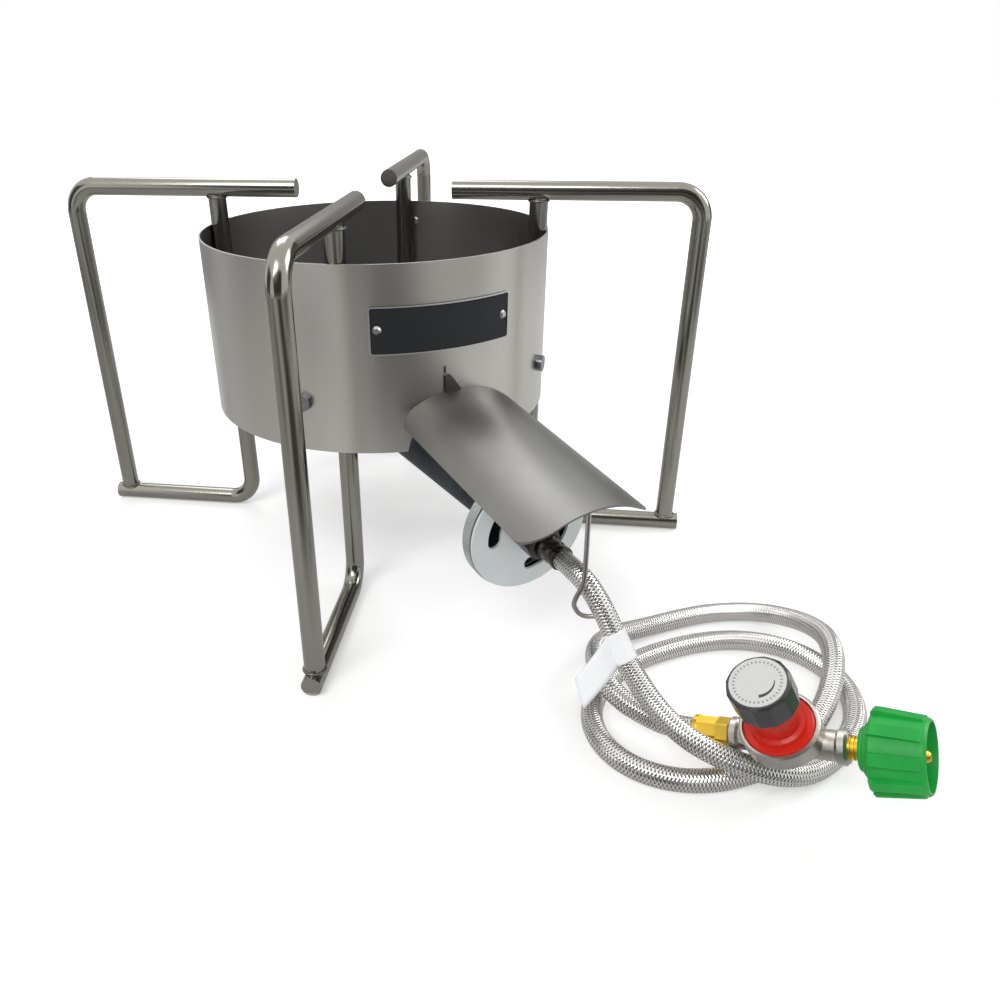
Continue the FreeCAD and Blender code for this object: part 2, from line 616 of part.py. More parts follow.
flange_z = BODY_Z[2]
rim_z, lip_z = BONNET_Z
cup_r = BONNET_R + BONNET_GAP
cup = lathe([(cup_r, flange_z), (BODY_R, flange_z), (BODY_R, rim_z - 1.2), (BODY_R - 0.8, rim_z - 0.4),
             (cup_r, rim_z - 0.4)])
body = fused([cone(BODY_FOOT_R, BODY_R - 1.5, BODY_Z[0], BODY_Z[1]), drum(BODY_R, BODY_Z[1], flange_z), cup,
              cyl(BOSS_R, V(BOSS_OUT, 0, 0), V(BOSS_IN, 0, 0))]
             + [boss_collar(BOSS_OUT), boss_collar(BOSS_IN - BOSS_COLLAR)])
chamber = drum(13.0, 4.0, flange_z)
ports = [cyl(GAS_BORE_R, V(BOSS_OUT - 1, 0, 0), V(BOSS_IN + 1, 0, 0)), drum(2.0, 0, BODY_Z[1]),
         cyl(NIPPLE_R, V(NIPPLE_X[0], 0, 0), V(BOSS_IN + 1, 0, 0))]
body = body.cut([chamber] + ports)
keep("regulator_body", on_reg(body))
dia_top = flange_z + DIA_T
keep("diaphragm", on_reg(drum(DIA_R, flange_z, dia_top)))
keep("spring_plate", on_reg(drum(PLATE_DISC_R, dia_top, dia_top + 1.5)))
step_z = rim_z + BONNET_STEP_H
bonnet = lathe([(BONNET_BORE_R, dia_top), (BONNET_R, dia_top), (BONNET_R, rim_z - 1), (BONNET_R - 1, rim_z),
                (BONNET_STEP_R, rim_z), (BONNET_STEP_R - 0.6, step_z), (BONNET_NECK_R, step_z + 0.8),
                (BONNET_NECK_R, lip_z), (BONNET_BORE_R, lip_z)])
keep("bonnet", on_reg(bonnet))
spring_low = dia_top + 1.5 + SPRING_WIRE
spring_high = BUTTON_Z[0] - SPRING_WIRE
helix = Part.makeHelix(SPRING_PITCH, spring_high - spring_low, SPRING_R)
wire_ring = Part.Wire(Part.Circle(V(SPRING_R, 0, 0), Y, SPRING_WIRE).toShape())
coil = Part.Wire(helix).makePipeShell([wire_ring], True, True)
coil.translate(V(0, 0, spring_low))
keep("spring", on_reg(coil))
stem_top = KNOB_Z[1] - KNOB_TOP_T
button = fused([drum(BONNET_BORE_R - RUN_GAP, BUTTON_Z[0], BUTTON_Z[1]),
                drum(BUTTON_PIN_R, BUTTON_Z[1], stem_top - 4)])
keep("spring_button", on_reg(button))
knob = prism(KNOB_SIDES, KNOB_R, KNOB_Z[0], KNOB_Z[1])
knob = knob.common(lathe([(0, KNOB_Z[0]), (KNOB_R + 0.5, KNOB_Z[0]), (KNOB_R + 0.5, KNOB_Z[1] - 1.6),
                          (KNOB_R - 1.4, KNOB_Z[1]), (0, KNOB_Z[1])]))
knob = knob.cut(drum(KNOB_BORE_R, KNOB_Z[0] - 1, stem_top))
stem = drum(KNOB_STEM_R, BUTTON_Z[1] + 1.0, stem_top + 1)
stem = stem.cut(drum(BUTTON_PIN_R + RUN_GAP, BUTTON_Z[1], stem_top - 3.6))
knob = fused([knob, stem])
keep("knob", on_reg(knob))
keep("knob_label", on_reg(drum(LABEL_R, KNOB_Z[1], KNOB_Z[1] + LABEL_T)))

# Regulator's outlet: brass hexagon and crimp
keep("outlet_hex", on_pipe(hexagon(OUT_HEX_AF, *OUT_HEX)))
c0, c1 = OUT_CRIMP
lip_end = c0 + OUT_CRIMP_LIP
ferrule = prism(OUT_CRIMP_FLATS, OUT_CRIMP_R, lip_end, c1)
lip = lathe([(0, c0), (OUT_CRIMP_R - 1, c0), (OUT_CRIMP_R, c0 + 1), (OUT_CRIMP_R, lip_end), (0, lip_end)])
keep("outlet_crimp", on_pipe(fused([ferrule, lip])))

# Regulator's inlet: brass nipple and the hand nut that turns on it
n0, n1, n2, n3, n4 = NIPPLE_X
root_r = NIPPLE_TIP_R + 1.4
threads = []
for k in range(THREAD_COUNT):
    z = BOSS_IN + THREAD_PITCH * (k + 0.7)
    threads += [(NIPPLE_R, z - 0.6), (NIPPLE_R - 0.5, z - 0.15),
                (NIPPLE_R - 0.5, z + 0.15), (NIPPLE_R, z + 0.6)]
nipple = lathe([(NIPPLE_BORE_R, n0), (NIPPLE_R, n0)] + threads + [(NIPPLE_R, n1), (NIPPLE_COLLAR_R, n1),
                (NIPPLE_COLLAR_R, n2), (root_r, n2 + 1), (root_r, n3 - 2), (NIPPLE_TIP_R, n3),
                (NIPPLE_TIP_R, n4 - 1.5),
                (NIPPLE_TIP_R - 1, n4), (NIPPLE_BORE_R, n4)])
keep("inlet_nipple", on_pipe(nipple))
x0, x1, x2, x3, x4 = NUT_X
s0, s1 = NUT_STEP_R
b0, b1 = NUT_BODY_R
bore_r = NIPPLE_R + RUN_GAP
hand = lathe([(bore_r, x0), (s0 - 0.8, x0), (s0, x0 + 0.8), (s0, x1), (s1 - 0.6, x1), (s1, x1 + 0.6),
              (s1, x2), (b0 - 1.5, x2), (b0, x2 + 1.5), (b1, x4 - 1), (b1 - 0.8, x4),
              (NUT_MOUTH_R, x4), (NUT_MOUTH_R, x3), (bore_r, x3)])
ribs = []
rib_r = b0 + NUT_RIB_H
rib_face = Part.Face(Part.makePolygon([
    V(b1 - 1.4, 0, x2 + 0.6), V(rib_r - 1.2, 0, x2 + 0.6), V(rib_r, 0, x2 + 2.0), V(b1 + 1.0, 0, x4 - 2.8),
    V(b1 - 0.4, 0, x4 - 1.6), V(b1 - 1.4, 0, x4 - 1.6), V(b1 - 1.4, 0, x2 + 0.6)]))
rib_face.translate(V(0, -NUT_RIB_W / 2, 0))
for i in range(NUT_RIBS):
    ribs.append(turned(rib_face.extrude(V(0, NUT_RIB_W, 0)), 360.0 * i / NUT_RIBS))
hand = fused([hand] + ribs)
hand = hand.cut(drum(NUT_MOUTH_R, x3, x4 + CUT_PAST))
keep("coupling_nut", on_pipe(hand))

# Hose and its tag
hose_start = FACE + OUT * CRIMP_Z[1]
hose_end = REG_O + PIPE * OUT_CRIMP[0]
hose_points = [hose_start, hose_start + OUT * HOSE_LEAD] + [V(*p) for p in HOSE_MID]
hose_points += [hose_end - PIPE * HOSE_TAIL, hose_end]
hose_edges, hose_radii = path_edges(hose_points)
hose = tube_along(hose_edges, HOSE_R)
keep("hose", hose)
arc = hose_edges[2 * TAG_BEND - 1]
arc_mid = (arc.FirstParameter + arc.LastParameter) / 2
tag_at = arc.valueAt(arc_mid)
along = unit(arc.tangentAt(arc_mid))
wrap = tube_along(hose_edges[2 * TAG_BEND - 3:2 * TAG_BEND + 2], HOSE_R + TAG_T)
sleeve = wrap.common(cyl(2 * HOSE_R, tag_at + along * TAG_SPAN[0], tag_at + along * TAG_SPAN[1])).cut(hose)
flag_dir = unit(FLAG_DIR)
flag_side = unit(along.cross(flag_dir))
high = tag_at + along * TAG_SPAN[0]
flag_pts = [high, high + along * FLAG_W, high + along * FLAG_W + flag_dir * FLAG_LEN,
            high + along * FLAG_TAPER + flag_dir * (FLAG_LEN - FLAG_SKEW)]
flag = Part.Face(Part.makePolygon(flag_pts + [flag_pts[0]])).extrude(flag_side * TAG_T)
tag = fused([sleeve, flag.cut(hose)])
keep("hose_tag", max(tag.Solids, key=lambda s: s.Volume))

os.makedirs("parts", exist_ok=True)
for name, shape in made.items():
    shape.exportStep("parts/" + name + ".step")
    print(name, "solids", len(shape.Solids), "valid", shape.isValid(), "volume", round(shape.Volume))
length = sum(e.Length for e in hose_edges)
share = hose.Volume / (math.pi * HOSE_R ** 2 * length)
print("hose length", round(length, 1), "volume share", round(share, 4))
beads_on = []
for edge in hose_edges:
    steps = max(2, int(edge.Length / 2))
    beads_on += [edge.valueAt(edge.FirstParameter + (edge.LastParameter - edge.FirstParameter) * k / steps)
                 for k in range(steps)]
apart = min((a - b).Length for k, a in enumerate(beads_on) for b in beads_on[k + 45:])
print("hose least gap to itself", round(apart - 2 * HOSE_R, 2))
print("hose radii", [round(r, 1) for r in hose_radii])
print("hook radii", [round(r, 1) for r in hook_radii])
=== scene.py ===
"""Outdoor propane cooker: the CAD frame's finishes, its braided hose and tag, and a pale studio."""

import math

import bmesh
import bpy
from mathutils import Matrix, Vector


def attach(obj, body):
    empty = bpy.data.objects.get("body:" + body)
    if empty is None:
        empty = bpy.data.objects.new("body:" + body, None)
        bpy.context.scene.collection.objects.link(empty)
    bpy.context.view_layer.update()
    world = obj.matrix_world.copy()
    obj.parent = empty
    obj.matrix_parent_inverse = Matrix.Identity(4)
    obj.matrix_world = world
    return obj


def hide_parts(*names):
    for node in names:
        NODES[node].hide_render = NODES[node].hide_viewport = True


bl_info = {
    "name": "Outdoor propane cooker",
    "version": (1, 0, 0),
    "blender": (4, 5, 0),
    "location": "View3D > Sidebar > Cooker",
    "description": "Finishes the cooker's CAD frame and adds its hose, tag and studio",
    "category": "Object",
}

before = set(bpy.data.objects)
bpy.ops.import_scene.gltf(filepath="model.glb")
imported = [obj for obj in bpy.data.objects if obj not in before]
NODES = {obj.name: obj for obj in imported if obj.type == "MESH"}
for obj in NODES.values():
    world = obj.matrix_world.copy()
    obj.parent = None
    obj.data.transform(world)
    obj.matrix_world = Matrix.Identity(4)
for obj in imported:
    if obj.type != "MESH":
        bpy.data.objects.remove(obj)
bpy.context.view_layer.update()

# Frame of the cooker, in metres
SCREEN_INSIDE = 0.1259
SCREEN_TOP = 0.2379
PLATE_FIELD_R = 0.12805
NECK_AT = Vector((0.0, -0.2171, 0.0885))
NECK_SLOPE = math.radians(3.7)
REG_AT = Vector((0.0478, -0.3884, 0.0360))
REG_UP = Vector((-0.512818, 0.057902, 0.856543))

# Turned rim of the bell: from the neck's face along the neck, and out from its middle
RIM_ALONG = (-0.0112, -0.0106)
RIM_REACH = (0.034, 0.036)

# Knob disc: its height up the regulator, the ring of ticks, and the turn mark with its ends in radians
LABEL_UP = 0.0546
TICK_RING = (0.0106, 0.0120)
TICK_EDGE = 0.0002
TICK_COUNT = 36.0
MARK_R = 0.0080
MARK_WIDTH = (0.0009, 0.0002)
MARK_TURN = (-0.6, 0.9)
MARK_FADE = 0.05

# Hose route: the points of the part's own hose, in metres
HOSE_ROUTE = (
    (0.0000, -0.2520, 0.0862), (0.0000, -0.2690, 0.0851), (0.0007, -0.2788, 0.0816),
    (0.0022, -0.2876, 0.0744), (0.0042, -0.2953, 0.0644), (0.0063, -0.3028, 0.0530),
    (0.0083, -0.3120, 0.0420), (0.0094, -0.3256, 0.0336), (0.0098, -0.3420, 0.0286),
    (0.0132, -0.3604, 0.0258), (0.0243, -0.3779, 0.0222), (0.0410, -0.3902, 0.0166),
    (0.0610, -0.3950, 0.0110), (0.0822, -0.3926, 0.0074), (0.1034, -0.3870, 0.0067),
    (0.1240, -0.3774, 0.0066), (0.1398, -0.3620, 0.0066), (0.1480, -0.3422, 0.0066),
    (0.1478, -0.3211, 0.0066), (0.1388, -0.3020, 0.0066), (0.1226, -0.2870, 0.0066),
    (0.1011, -0.2774, 0.0066), (0.0768, -0.2729, 0.0066), (0.0523, -0.2716, 0.0066),
    (0.0280, -0.2756, 0.0066), (0.0064, -0.2859, 0.0066), (-0.0089, -0.3006, 0.0066),
    (-0.0166, -0.3198, 0.0066), (-0.0146, -0.3408, 0.0066), (-0.0032, -0.3584, 0.0066),
    (0.0142, -0.3704, 0.0066), (0.0354, -0.3766, 0.0066), (0.0578, -0.3780, 0.0066),
    (0.0800, -0.3750, 0.0066), (0.1010, -0.3674, 0.0076), (0.1214, -0.3588, 0.0130),
    (0.1394, -0.3462, 0.0202), (0.1536, -0.3304, 0.0226), (0.1626, -0.3124, 0.0184),
    (0.1652, -0.2934, 0.0128), (0.1590, -0.2754, 0.0086), (0.1436, -0.2620, 0.0068),
    (0.1222, -0.2534, 0.0066), (0.0992, -0.2494, 0.0066), (0.0758, -0.2474, 0.0072),
    (0.0536, -0.2484, 0.0114), (0.0344, -0.2550, 0.0170), (0.0196, -0.2658, 0.0212),
    (0.0102, -0.2800, 0.0222), (0.0064, -0.2954, 0.0204), (0.0080, -0.3093, 0.0174),
    (0.0132, -0.3218, 0.0158), (0.0192, -0.3350, 0.0153), (0.0261, -0.3480, 0.0203),
)

# Tag on the hose
TAG_AT = Vector((0.0063, -0.3028, 0.0530))
TAG_SPAN = (-0.011, 0.009)
FLAG_TAPER = 0.0022
FLAG_SKEW = 0.0026
FLAG_DIR = Vector((-0.886, -0.276, -0.374)).normalized()
FLAG_CURL = 0.003

# Camera, fitted to the photograph
CAMERA_AT = (-0.26490, -0.60005, 0.35153)
CAMERA_TURN = (61.9823, 0.5321, -27.9974)
CAMERA_SHIFT = (0.0614, 0.0069)
SENSOR_WIDTH = 36.0

# Cards that only the metal mirrors: name, place, half sizes and shade
CARDS = (
    ("left_card", (-2.0, 0.5, 0.6), (0.8, 0.7), 0.10),
    ("right_card", (2.0, 0.2, 0.5), (0.9, 0.7), 0.10),
    ("back_card", (0.8, 2.0, 0.55), (1.8, 0.5), 0.4),
)

# Dark mats on the studio floor, which only the metal mirrors: centre, half sizes and how dark each is. The
# rest of the floor is dimmed too, by MAT_NEAR close to the cooker and by MAT_FAR further off.
MATS = (
    ((-0.15, -0.66), (0.33, 0.44), 0.88), ((-0.45, -1.15), (0.46, 0.56), 0.92),
    ((0.62, -1.12), (0.72, 0.62), 0.78), ((-0.90, 0.15), (0.95, 0.95), 0.30),
    ((-0.85, -0.36), (0.55, 0.24), 0.50), ((-0.40, 1.15), (0.60, 0.50), 0.60),
    ((-1.10, 0.34), (0.40, 0.30), 0.40),
)
MAT_NEAR = 0.40
MAT_FAR = 0.66
MAT_LIFT = 0.002


# Shader helpers
def add_node(tree, kind, inputs=None, **props):
    made = tree.nodes.new(kind)
    for key, value in props.items():
        setattr(made, key, value)
    for key, value in (inputs or {}).items():
        feed(tree, made.inputs[key], value)
    return made


def feed(tree, socket, value):
    if isinstance(value, bpy.types.NodeSocket):
        tree.links.new(value, socket)
    else:
        socket.default_value = value


def calc(tree, operation, a, b=0.0, clamp=False):
    made = add_node(tree, "ShaderNodeMath", {0: a, 1: b}, operation=operation, use_clamp=clamp)
    return made.outputs[0]


def vec(tree, operation, a, b=None):
    """Vector arithmetic; LENGTH and DOT_PRODUCT give a value."""
    made = add_node(tree, "ShaderNodeVectorMath", {0: a} if b is None else {0: a, 1: b}, operation=operation)
    return made.outputs["Value" if operation in ("LENGTH", "DOT_PRODUCT") else "Vector"]


def spread(tree, value, low, high, to_low=0.0, to_high=1.0, smooth=False):
    kind = "SMOOTHSTEP" if smooth else "LINEAR"
    made = add_node(tree, "ShaderNodeMapRange", {
        "Value": value, "From Min": low, "From Max": high, "To Min": to_low, "To Max": to_high,
    }, interpolation_type=kind, clamp=True)
    return made.outputs["Result"]


def mixed(tree, factor, a, b):
    made = tree.nodes.new("ShaderNodeMix")
    made.data_type = "RGBA"
    feed(tree, made.inputs[0], factor)
    feed(tree, made.inputs[6], a)
    feed(tree, made.inputs[7], b)
    return made.outputs[2]


def rgba(colour):
    return (*colour, 1.0)


def new_group(name, inputs, outputs):
    tree = bpy.data.node_groups.new(name, "ShaderNodeTree")
    for label, kind in inputs:
        tree.interface.new_socket(label, in_out="INPUT", socket_type=kind)
    for label, kind in outputs:
        tree.interface.new_socket(label, in_out="OUTPUT", socket_type=kind)
    return tree, tree.nodes.new("NodeGroupInput").outputs, tree.nodes.new("NodeGroupOutput").inputs


def grain_group():
    """Fine streaks along the direction that Stretch shortens."""
    tree, given, out = new_group(
        "grain",
        [("Vector", "NodeSocketVector"), ("Stretch", "NodeSocketVector"), ("Scale", "NodeSocketFloat")],
        [("Fac", "NodeSocketFloat")])
    drawn = vec(tree, "MULTIPLY", given["Vector"], given["Stretch"])
    noise = add_node(tree, "ShaderNodeTexNoise", {
        "Vector": drawn, "Scale": given["Scale"], "Detail": 5.0, "Roughness": 0.62})
    feed(tree, out["Fac"], spread(tree, noise.outputs["Fac"], 0.28, 0.72))
    return tree


def smudge_group():
    """Broad, soft patches of handling and heat; stretched upright on the windscreen, the same noise gives
    painted reflection stripes.
    """
    tree, given, out = new_group(
        "smudges_and_sheen", [("Vector", "NodeSocketVector"), ("Scale", "NodeSocketFloat")],
        [("Fac", "NodeSocketFloat")])
    noise = add_node(tree, "ShaderNodeTexNoise", {
        "Vector": given["Vector"], "Scale": given["Scale"], "Detail": 3.0, "Roughness": 0.55})
    feed(tree, out["Fac"], spread(tree, noise.outputs["Fac"], 0.34, 0.66, smooth=True))
    return tree


def weave_group():
    """Two sets of strands crossing over and under; Around and Along count strands."""
    tree, given, out = new_group(
        "weave", [("Around", "NodeSocketFloat"), ("Along", "NodeSocketFloat"), ("Wires", "NodeSocketFloat")],
        [("Height", "NodeSocketFloat"), ("Wire", "NodeSocketFloat")])
    strands = []
    for operation in ("ADD", "SUBTRACT"):
        count = calc(tree, operation, given["Around"], given["Along"])
        across = calc(tree, "FRACT", count)
        step = calc(tree, "FLOOR", count)
        side = calc(tree, "MULTIPLY", calc(tree, "SUBTRACT", across, 0.5), 2.0)
        crown = calc(tree, "SUBTRACT", 1.0, calc(tree, "POWER", calc(tree, "ABSOLUTE", side), 2.0))
        turns = calc(tree, "MULTIPLY", calc(tree, "MULTIPLY", across, given["Wires"]), 2.0 * math.pi)
        wire = calc(tree, "COSINE", turns)
        strands.append((step, crown, wire))
    (step_a, crown_a, wire_a), (step_b, crown_b, wire_b) = strands
    over = calc(tree, "PINGPONG", calc(tree, "ADD", step_a, step_b), 1.0)
    under = calc(tree, "SUBTRACT", 1.0, over)
    high_a = calc(tree, "MULTIPLY", crown_a, spread(tree, over, 0.0, 1.0, 0.55, 1.0))
    high_b = calc(tree, "MULTIPLY", crown_b, spread(tree, under, 0.0, 1.0, 0.55, 1.0))
    feed(tree, out["Height"], calc(tree, "MAXIMUM", high_a, high_b))
    feed(tree, out["Wire"], calc(tree, "ADD", calc(tree, "MULTIPLY", wire_a, over),
                                 calc(tree, "MULTIPLY", wire_b, under)))
    return tree


def group(name):
    makers = {"grain": grain_group, "smudges_and_sheen": smudge_group, "weave": weave_group}
    return bpy.data.node_groups.get(name) or makers[name]()


def new_material(name):
    made = bpy.data.materials.new(name)
    made.use_nodes = True
    tree = made.node_tree
    shader = next(n for n in tree.nodes if n.type == "BSDF_PRINCIPLED")
    where = tree.nodes.new("ShaderNodeTexCoord").outputs["Object"]
    return made, tree, shader, where


def use_group(tree, name, inputs, output):
    made = add_node(tree, "ShaderNodeGroup", node_tree=group(name))
    for key, value in inputs.items():
        feed(tree, made.inputs[key], value)
    return made.outputs[output]


def even_grain(tree, where, scale):
    return use_group(tree, "grain", {"Vector": where, "Stretch": (1, 1, 1), "Scale": scale}, "Fac")


def raise_by(tree, shader, height, strength, distance):
    lift = add_node(tree, "ShaderNodeBump", {"Strength": strength, "Distance": distance, "Height": height})
    feed(tree, shader.inputs["Normal"], lift.outputs[0])


def seen_rays(tree):
    """1 for what the camera sees, straight or in a mirror, and 0 for light that falls on the part."""
    path = tree.nodes.new("ShaderNodeLightPath").outputs
    seen = calc(tree, "MAXIMUM", path["Is Camera Ray"], path["Is Glossy Ray"])
    return calc(tree, "MAXIMUM", seen, path["Is Transmission Ray"])


def finish_metal(name, light, dark, rough, stretch=(1, 1, 1), scale=600.0, bump=0.0, patch=30.0,
                 metallic=1.0):
    """A metal that runs from dark to light with its grain, duller in broad patches."""
    made, tree, shader, where = new_material(name)
    fine = use_group(tree, "grain", {"Vector": where, "Stretch": stretch, "Scale": scale}, "Fac")
    broad = use_group(tree, "smudges_and_sheen", {"Vector": where, "Scale": patch}, "Fac")
    shade = calc(tree, "ADD", calc(tree, "MULTIPLY", fine, 0.5), calc(tree, "MULTIPLY", broad, 0.5))
    feed(tree, shader.inputs["Base Color"], mixed(tree, shade, rgba(dark), rgba(light)))
    feed(tree, shader.inputs["Roughness"], spread(tree, shade, 0.0, 1.0, rough[0], rough[1]))
    shader.inputs["Metallic"].default_value = metallic
    if bump:
        raise_by(tree, shader, fine, bump, 0.0004)
    return made


def finish_moulded(name, light, dark, rough, scale=500.0, bump=0.1, coat=0.0, shine=0.5):
    """Plastic, rubber or paint with a fine texture."""
    made, tree, shader, where = new_material(name)
    fine = even_grain(tree, where, scale)
    broad = use_group(tree, "smudges_and_sheen", {"Vector": where, "Scale": 60.0}, "Fac")
    feed(tree, shader.inputs["Base Color"], mixed(tree, broad, rgba(dark), rgba(light)))
    feed(tree, shader.inputs["Roughness"], spread(tree, fine, 0.0, 1.0, rough[0], rough[1]))
    shader.inputs["Specular IOR Level"].default_value = shine
    shader.inputs["Coat Weight"].default_value = coat
    shader.inputs["Coat Roughness"].default_value = 0.08
    raise_by(tree, shader, fine, bump, 0.0003)
    return made


def from_axis(tree, where):
    """Distance from the cooker's upright axis."""
    return vec(tree, "LENGTH", vec(tree, "MULTIPLY", where, (1, 1, 0)))


def finish_windscreen():
    """Rolled sheet: drawn grain, long soft upright stripes of painted reflection, a painted highlight along
    the top rim, and an inside darkened with painted shade.
    """
    made, tree, shader, where = new_material("sheet_rolled")
    fine = use_group(tree, "grain", {"Vector": where, "Stretch": (1, 1, 0.03), "Scale": 900.0}, "Fac")
    # Long soft upright stripes in the colour are painted reflection, standing for the studio's light and dark
    # mirrored in the sheet.
    upright = vec(tree, "MULTIPLY", where, (1, 1, 0.15))
    painted_reflection_bands = use_group(tree, "smudges_and_sheen", {"Vector": upright, "Scale": 9.0}, "Fac")
    shade = calc(tree, "ADD", calc(tree, "MULTIPLY", fine, 0.2), calc(tree, "MULTIPLY", painted_reflection_bands, 0.8))
    outside = mixed(tree, shade, (0.55, 0.535, 0.495, 1), (0.64, 0.625, 0.585, 1))
    # The inside is coloured darker than the outside: painted shade within the windscreen.
    inside = mixed(tree, painted_reflection_bands, (0.40, 0.395, 0.385, 1), (0.45, 0.445, 0.435, 1))
    skin = spread(tree, from_axis(tree, where), SCREEN_INSIDE - 0.00005, SCREEN_INSIDE + 0.00005)
    body = mixed(tree, skin, inside, outside)
    # A thin light line along the top rim is a painted highlight.
    high = add_node(tree, "ShaderNodeSeparateXYZ", {0: where}).outputs["Z"]
    painted_rim_highlight = spread(tree, high, SCREEN_TOP - 0.0002, SCREEN_TOP - 0.0001)
    feed(tree, shader.inputs["Base Color"], mixed(tree, painted_rim_highlight, body, (0.72, 0.71, 0.69, 1)))
    feed(tree, shader.inputs["Roughness"], spread(tree, painted_reflection_bands, 0.0, 1.0, 0.34, 0.28))
    shader.inputs["Metallic"].default_value = 1.0
    return made


def finish_shield():
    """Formed sheet, darkened with painted shade at the end by the windscreen."""
    made, tree, shader, where = new_material("sheet_formed")
    broad = use_group(tree, "smudges_and_sheen", {"Vector": where, "Scale": 10.0}, "Fac")
    unshaded_sheet = mixed(tree, broad, (0.25, 0.248, 0.238, 1), (0.295, 0.293, 0.281, 1))
    # Darker towards the windscreen: painted shade where the shield meets the windscreen.
    painted_shade_by_screen = spread(tree, from_axis(tree, where), SCREEN_INSIDE, SCREEN_INSIDE + 0.075, smooth=True)
    feed(tree, shader.inputs["Base Color"], mixed(tree, painted_shade_by_screen, (0.17, 0.168, 0.162, 1), unshaded_sheet))
    feed(tree, shader.inputs["Roughness"], spread(tree, broad, 0.0, 1.0, 0.46, 0.40))
    shader.inputs["Metallic"].default_value = 1.0
    return made


def finish_nameplate():
    """A dark, bare field inside a bright raised rim."""
    made, tree, shader, where = new_material("plate_field")
    fine = even_grain(tree, where, 1500.0)
    rim = spread(tree, from_axis(tree, where), PLATE_FIELD_R - 0.0001, PLATE_FIELD_R + 0.0001)
    field = mixed(tree, fine, (0.017, 0.018, 0.019, 1), (0.027, 0.029, 0.030, 1))
    feed(tree, shader.inputs["Base Color"], mixed(tree, rim, field, (0.62, 0.62, 0.61, 1)))
    feed(tree, shader.inputs["Metallic"], rim)
    feed(tree, shader.inputs["Roughness"], spread(tree, fine, 0.0, 1.0, 0.42, 0.55))
    shader.inputs["Specular IOR Level"].default_value = 0.2
    return made


def finish_casting():
    """Grey cast iron, with the bell's turned rim left bright."""
    made, tree, shader, where = new_material("iron_cast")
    fine = even_grain(tree, where, 700.0)
    broad = use_group(tree, "smudges_and_sheen", {"Vector": where, "Scale": 45.0}, "Fac")
    away = vec(tree, "SUBTRACT", where, NECK_AT)
    out = Vector((0.0, -math.cos(NECK_SLOPE), -math.sin(NECK_SLOPE)))
    along = vec(tree, "DOT_PRODUCT", away, out)
    reach = vec(tree, "LENGTH", away)
    rim = calc(tree, "MULTIPLY", spread(tree, along, *RIM_ALONG), spread(tree, reach, *RIM_REACH))
    iron = mixed(tree, broad, (0.032, 0.038, 0.041, 1), (0.058, 0.068, 0.074, 1))
    feed(tree, shader.inputs["Base Color"], mixed(tree, rim, iron, (0.56, 0.60, 0.585, 1)))
    feed(tree, shader.inputs["Metallic"], spread(tree, rim, 0.0, 1.0, 0.55, 1.0))
    feed(tree, shader.inputs["Roughness"], spread(tree, rim, 0.0, 1.0, 0.55, 0.26))
    raise_by(tree, shader, fine, 0.25, 0.0006)
    return made


def finish_label():
    """A white disc with plain ticks round it and one curved turn mark."""
    made, tree, shader, where = new_material("label_disc")
    away = vec(tree, "SUBTRACT", where, REG_AT + REG_UP * LABEL_UP)
    reach = vec(tree, "LENGTH", away)
    ahead = Vector((0, 0, 1)).cross(REG_UP).normalized()
    turn = calc(tree, "ARCTAN2", vec(tree, "DOT_PRODUCT", away, REG_UP.cross(ahead)),
                vec(tree, "DOT_PRODUCT", away, ahead))
    inner, outer = TICK_RING
    ring = calc(tree, "MULTIPLY", spread(tree, reach, inner, inner + TICK_EDGE),
                spread(tree, reach, outer - TICK_EDGE, outer, 1.0, 0.0))
    ticks = spread(tree, calc(tree, "SINE", calc(tree, "MULTIPLY", turn, TICK_COUNT)), 0.1, 0.5)
    marks = calc(tree, "MULTIPLY", ring, ticks)
    start, end = MARK_TURN
    sweep = calc(tree, "MULTIPLY", spread(tree, turn, start - MARK_FADE, start),
                 spread(tree, turn, end, end + MARK_FADE, 1.0, 0.0))
    wide = spread(tree, turn, start, end, *MARK_WIDTH)
    off = calc(tree, "ABSOLUTE", calc(tree, "SUBTRACT", reach, MARK_R))
    arc = calc(tree, "MULTIPLY", sweep, calc(tree, "LESS_THAN", off, wide))
    fine = even_grain(tree, where, 900.0)
    paper = mixed(tree, fine, (0.60, 0.60, 0.59, 1), (0.66, 0.66, 0.65, 1))
    ink = calc(tree, "MAXIMUM", calc(tree, "MULTIPLY", marks, 0.6), arc)
    feed(tree, shader.inputs["Base Color"], mixed(tree, ink, paper, (0.03, 0.03, 0.03, 1)))
    feed(tree, shader.inputs["Roughness"], spread(tree, fine, 0.0, 1.0, 0.35, 0.5))
    return made


